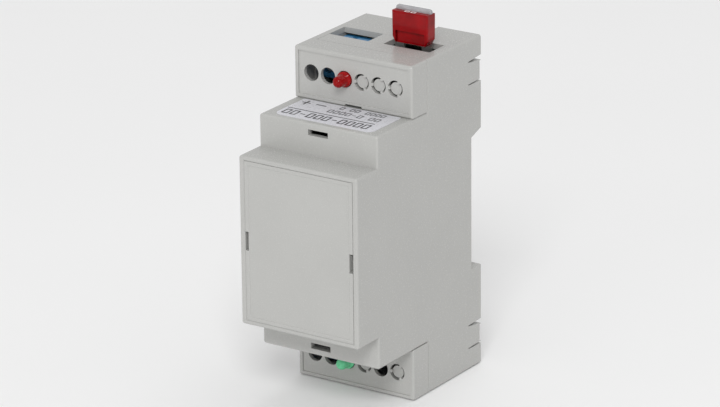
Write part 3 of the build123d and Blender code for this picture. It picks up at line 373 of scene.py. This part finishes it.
diode_low, diode_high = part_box("flyback_diode")
resistor_z = (resistor_low.z + resistor_high.z) / 2 / MM
diode_z = (diode_low.z + diode_high.z) / 2 / MM
resistor = banded("resistor_coat", (0.60, 0.46, 0.28), ((0.30, 0.12, 0.03), (0.02, 0.02, 0.02)),
                  resistor_z, RESISTOR_PITCH, RESISTOR_HALF)
diode = banded("diode_black", (0.02, 0.02, 0.022), (), diode_z, 0.0, DIODE_HALF)

FINISH = {
    enclosure: ("housing_body", "front_panel", "top_terminal_guard", "bottom_terminal_guard"),
    enclosure_dark: ("rear_base", "din_latch"),
    steel: ("pcb_screws", "upper_terminal_screw_1", "upper_terminal_screw_2",
            "lower_terminal_screw_1", "lower_terminal_screw_2", "upper_clamp_cage_1",
            "upper_clamp_cage_2", "lower_clamp_cage_1", "lower_clamp_cage_2"),
    spring_steel: ("latch_spring", "relay_return_spring"),
    tinned: ("upper_terminal_contacts", "lower_terminal_contacts", "fuse_clip_left",
             "fuse_clip_right", "relay_coil_pins", "capacitor_leads", "red_led_leads",
             "green_led_leads"),
    iron: ("relay_yoke", "relay_core", "relay_armature"),
    bronze: ("relay_moving_contact", "relay_fixed_contact_no", "relay_fixed_contact_nc"),
    zinc: ("fuse_element",),
    aluminium: ("capacitor_can",),
    blue: ("upper_terminal_block", "lower_terminal_block"),
    black: ("fuse_holder",),
    nylon: ("red_led_spacer", "green_led_spacer"),
    rubber: ("capacitor_seal",),
    bobbin: ("relay_bobbin",),
    relay_blue: ("relay_base", "relay_case"),
    trimmer_blue: ("trimmer_body",),
    trimmer_white: ("trimmer_rotor",),
    sleeve: ("capacitor_sleeve",),
    varistor_coat: ("varistor",),
    film: ("rating_label",),
    fuse_red: ("fuse_body",),
    strip_clear: ("fuse_top_strip",),
    led_red: ("red_led_lens",),
    led_green: ("green_led_lens",),
    board("main_board"): ("main_pcb",),
    winding("copper_wire"): ("relay_winding",),
    resistor: ("lamp_resistors",),
    diode: ("flyback_diode",),
}
for finish, names in FINISH.items():
    for name in names:
        slots = nodes[name].data.materials
        slots.clear()
        slots.append(finish)

unfinished = set(nodes) - {name for names in FINISH.values() for name in names}
assert not unfinished, unfinished


# ---------------------------------------------------------------- pieces made here
def place_piece(name, mesh, finish, body):
    """A new object from a mesh, riding on a body, with its material slot named."""
    mesh.materials.append(finish)
    piece = bpy.data.objects.new(name, mesh)
    bpy.context.scene.collection.objects.link(piece)
    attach(piece, body)
    return piece


def rounded_bar(x, y, length, width):
    """Outline of a bar along X with rounded corners, about its centre, in millimetres."""
    r = min(width, length) * CORNER_SHARE
    corners = ((1, 1, 0), (-1, 1, 90), (-1, -1, 180), (1, -1, 270))
    return [(x + sx * (length / 2 - r) + r * math.cos(math.radians(start + step)),
             y + sy * (width / 2 - r) + r * math.sin(math.radians(start + step)))
            for sx, sy, start in corners for step in (0, 30, 60, 90)]


def cross(x, y, arm_x, arm_y, half):
    """Outline of a plus sign about its centre, in millimetres."""
    quarter = [(arm_x, half), (half, half), (half, arm_y)]
    signs = ((1, 1), (-1, 1), (-1, -1), (1, -1))
    outline = []
    for sx, sy in signs:
        points = quarter if sx * sy > 0 else quarter[::-1]
        outline += [(x + sx * px, y + sy * py) for px, py in points]
    return outline


def placeholder_row(x_from, x_to, y, tall, cells, stroke):
    """A row that stands for a line of print: # is a hollow box, - is a dash."""
    pitch = (x_to - x_from) / len(cells)
    shapes = []
    for number, cell in enumerate(cells):
        x = x_from + (number + 0.5) * pitch
        wide = BOX_SHARE * pitch
        if cell == "#":
            shapes.append((rounded_bar(x, y, wide, tall),
                           rounded_bar(x, y, wide - 2 * stroke, tall - 2 * stroke)))
        elif cell == "-":
            shapes.append((rounded_bar(x, y, DASH_SHARE * pitch, stroke), None))
    return shapes


def printed(name, shapes, z, finish, body):
    """Ink on a face that looks up: closed prisms, some with a hole, sunk a little into it."""
    bm = bmesh.new()
    for outer, inner in shapes:
        loops = [[[bm.verts.new((px * MM, py * MM, z + h * MM)) for px, py in outline]
                  for h in (INK_SINK, INK_RISE)]
                 for outline in (outer, inner) if outline]
        for lower, upper in loops:
            for k in range(len(lower)):
                after = (k + 1) % len(lower)
                bm.faces.new((lower[k], lower[after], upper[after], upper[k]))
        for level in (0, 1):
            if not inner:
                bm.faces.new(loops[0][level])
                continue
            rim, hole = loops[0][level], loops[1][level]
            for k in range(len(rim)):
                after = (k + 1) % len(rim)
                bm.faces.new((rim[k], rim[after], hole[after], hole[k]))
    bmesh.ops.recalc_face_normals(bm, faces=bm.faces)
    mesh = bpy.data.meshes.new(name)
    bm.to_mesh(mesh)
    bm.free()
    return place_piece(name, mesh, finish, body)


def label_print():
    """A plus, a dash, a ruled line, and rows of empty boxes where a rating plate has words."""
    label_low, label_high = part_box("rating_label")
    rear = label_high.y / MM
    x = (label_low.x + label_high.x) / 2 / MM
    plus_x, plus_down, *plus_sizes = LABEL_PLUS
    shapes = [(cross(x + plus_x, rear - plus_down, *plus_sizes), None)]
    for bar_x, bar_down, *bar_sizes in (LABEL_MINUS, LABEL_RULE):
        shapes.append((rounded_bar(x + bar_x, rear - bar_down, *bar_sizes), None))
    for x_from, x_to, down, tall, cells, stroke in LABEL_ROWS:
        shapes += placeholder_row(x + x_from, x + x_to, rear - down, tall, cells, stroke)
    printed("label_print", shapes, label_high.z, ink, "enclosure")


def fuse_print():
    """Two small hollow boxes in white on the fuse's top, in place of its rating."""
    body_low, body_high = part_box("fuse_body")
    strip_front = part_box("fuse_top_strip")[0].y / MM
    front = body_low.y / MM
    x = (body_low.x + body_high.x) / 2 / MM
    y = (front + FUSE_TOP_EDGE + strip_front) / 2
    x_from, x_to, tall, cells, stroke = FUSE_ROW
    shapes = placeholder_row(x + x_from, x + x_to, y, tall, cells, stroke)
    printed("fuse_print", shapes, body_high.z, white_ink, "fuse")


def latch_coil():
    """Compression spring with closed ends, squeezed between the latch and its post."""
    coil_low, coil_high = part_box("latch_spring")
    wire = COIL_WIRE_R * MM
    radius = (coil_high.x - coil_low.x) / 2 - wire
    x = (coil_low.x + coil_high.x) / 2
    y = (coil_low.y + coil_high.y) / 2
    bottom = coil_low.z + wire
    height = coil_high.z - coil_low.z - 2 * wire
    end_rise = COIL_END_RISE * wire
    curve = bpy.data.curves.new("latch_coil", "CURVE")
    curve.dimensions = "3D"
    curve.bevel_depth = wire
    curve.bevel_resolution = 3
    curve.use_fill_caps = True
    spline = curve.splines.new("POLY")
    count = int(COIL_TURNS * COIL_STEPS) + 1
    spline.points.add(count - 1)
    for k, point in enumerate(spline.points):
        turn = k / COIL_STEPS
        if turn < COIL_CLOSED:
            rise = end_rise * turn / COIL_CLOSED
        elif turn > COIL_TURNS - COIL_CLOSED:
            rise = height - end_rise * (COIL_TURNS - turn) / COIL_CLOSED
        else:
            share = (turn - COIL_CLOSED) / (COIL_TURNS - 2 * COIL_CLOSED)
            rise = end_rise + (height - 2 * end_rise) * share
        angle = math.tau * turn
        point.co = (x + radius * math.cos(angle), y + radius * math.sin(angle),
                    bottom + rise, 1.0)
    source = bpy.data.objects.new("latch_coil_curve", curve)
    mesh = bpy.data.meshes.new_from_object(source)
    bpy.data.objects.remove(source)
    mesh.materials.clear()
    for face in mesh.polygons:
        face.use_smooth = True
    piece = place_piece("latch_coil", mesh, spring_steel, "enclosure")
    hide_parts("latch_spring")
    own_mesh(piece)


label_print()
fuse_print()
latch_coil()

# ---------------------------------------------------------------- floor, light and camera
low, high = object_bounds()


def floor():
    """Plain pale table."""
    s = Shader("floor_acrylic")
    s.colour(s.mix(s.noise(0.01, 2), (0.90, 0.90, 0.90), (0.92, 0.92, 0.92)))
    s.roughness(s.between(s.noise(0.5), 0.85, 0.95))
    mesh = bpy.data.meshes.new("floor")
    z = low.z - FLOOR_GAP * MM
    corners = [(x * FLOOR_HALF, y * FLOOR_HALF, z) for x, y in ((-1, -1), (1, -1), (1, 1), (-1, 1))]
    mesh.from_pydata(corners, [], [(0, 1, 2, 3)])
    mesh.materials.append(s.material)
    piece = bpy.data.objects.new("floor", mesh)
    bpy.context.scene.collection.objects.link(piece)


def softbox(name, direction, distance, size, level):
    """Square lamp aimed at the object; level is how bright it makes a white face turned to it."""
    light = bpy.data.lights.new(name, "AREA")
    light.shape = "SQUARE"
    light.size = size
    light.energy = level * math.pi ** 2 * distance ** 2
    away = Vector(direction).normalized()
    lamp = bpy.data.objects.new(name, light)
    lamp.location = (low + high) / 2 + away * distance
    lamp.rotation_euler = (-away).to_track_quat("-Z", "Y").to_euler()
    bpy.context.scene.collection.objects.link(lamp)


floor()
for lamp_settings in LAMPS:
    softbox(*lamp_settings)

world = bpy.data.worlds.new("studio")
world.use_nodes = True
backdrop = world.node_tree.nodes["Background"]
backdrop.inputs["Color"].default_value = (1, 1, 1, 1)
backdrop.inputs["Strength"].default_value = WORLD_LEVEL
bpy.context.scene.world = world
bpy.context.scene.view_settings.view_transform = "Standard"

# The camera stands off to the front right, a little above, with a long lens.
camera_data = bpy.data.cameras.new("camera")
camera_data.sensor_fit = "HORIZONTAL"
camera_data.sensor_width = 36.0
camera_data.lens = CAMERA_LENS
camera_data.clip_start = 0.05
camera = bpy.data.objects.new("camera", camera_data)
right = Vector(CAMERA_RIGHT).normalized()
ahead = Vector(CAMERA_AHEAD).normalized()
above = right.cross(ahead).normalized()
right = ahead.cross(above).normalized()
turn = Matrix((right, above, -ahead)).transposed().to_4x4()
camera.matrix_world = Matrix.Translation(CAMERA_AT) @ turn
bpy.context.scene.collection.objects.link(camera)
bpy.context.scene.camera = camera
